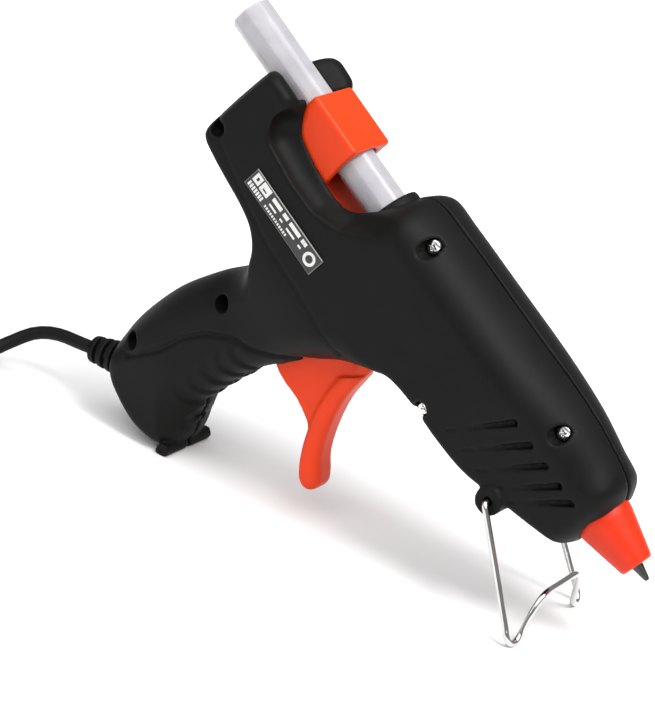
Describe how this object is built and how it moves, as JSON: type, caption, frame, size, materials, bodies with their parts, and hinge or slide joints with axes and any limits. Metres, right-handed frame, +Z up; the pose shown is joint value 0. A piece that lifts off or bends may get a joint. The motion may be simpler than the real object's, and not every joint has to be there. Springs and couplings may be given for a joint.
{
  "type": "hot glue gun",
  "caption": "Corded hot-melt glue gun standing on its foot bar and folding wire stand, with trigger, sliding stick carriage, heated barrel, mains lead and plug.",
  "frame": {"origin": "on the floor under the middle of the gun's own box, without the mains lead, its coil and its plug", "axes": "+X towards the nozzle, +Y to the gun's left, +Z up; the gun's barrel points 33.8 degrees below level"},
  "size_m": [0.3011, 0.0577, 0.1351],
  "materials": {
    "black_plastic": "fine satin texture",
    "orange_plastic": "smooth moulded",
    "orange_silicone": "matt silicone",
    "black_silicone": "matt",
    "label_print": "printed foil",
    "bright_steel": "bright plated",
    "dark_steel": "dark turned steel",
    "cast_aluminium": "as cast",
    "ceramic": "matt ceramic",
    "glue": "translucent satin",
    "wire_insulation": "smooth",
    "brass": "bright"
  },
  "bodies": {
    "housing": {"right_shell": "black_plastic", "left_shell": "black_plastic", "rating_label": "label_print", "feed_sleeve": "black_silicone", "sleeve_clamp": "bright_steel", "melting_chamber": "cast_aluminium", "ptc_heater": "ceramic", "heater_clamp": "bright_steel", "nozzle": "dark_steel", "nozzle_sleeve": "orange_silicone", "trigger_pivot_pin": "bright_steel", "return_spring": "bright_steel", "heater_lead_live": "wire_insulation", "heater_lead_neutral": "wire_insulation", "crimp_live": "brass", "crimp_neutral": "brass", "cord_core_live": "wire_insulation", "cord_core_neutral": "wire_insulation", "strain_relief": "black_silicone", "cord_clamp": "black_plastic", "clamp_screw_1": "bright_steel", "clamp_screw_2": "bright_steel", "power_cord": "black_silicone", "power_cord_coil": "black_silicone", "plug_body": "black_silicone", "plug_pin_right": "brass", "plug_pin_left": "brass", "housing_screw_1": "bright_steel", "housing_screw_2": "bright_steel", "housing_screw_3": "bright_steel", "housing_screw_4": "bright_steel", "housing_screw_5": "bright_steel", "housing_screw_6": "bright_steel"},
    "carriage": {"carriage": "orange_plastic", "grip_plate": "bright_steel", "drive_pin": "bright_steel"},
    "trigger": {"trigger": "orange_plastic"},
    "glue_stick": {"glue_stick": "glue"},
    "stand": {"stand_wire": "bright_steel"}
  },
  "joints": [
    {"name": "trigger_squeeze", "type": "hinge", "parent": "housing", "child": "trigger", "pos_m": [-0.02093, 0, 0.05239], "axis": [0, 1, 0], "range_deg": [0, 26], "stiffness_Nm_per_rad": 0.3, "springref_deg": -20.05, "deforming": ["return_spring"]},
    {"name": "carriage_feed", "type": "slide", "parent": "housing", "child": "carriage", "axis": [0.8306, 0, -0.5569], "range_m": [0, 0.013]},
    {"name": "stick_slide", "type": "slide", "parent": "carriage", "child": "glue_stick", "axis": [0.8306, 0, -0.5569], "range_m": [-0.08, 0]},
    {"name": "stand_fold", "type": "hinge", "parent": "housing", "child": "stand", "pos_m": [0.05044, 0, 0.0344], "axis": [0, 1, 0], "range_deg": [0, 110]}
  ],
  "couplings": [
    {"joint": "carriage_feed", "follows": "trigger_squeeze", "m_per_rad": 0.02798}
  ]
}
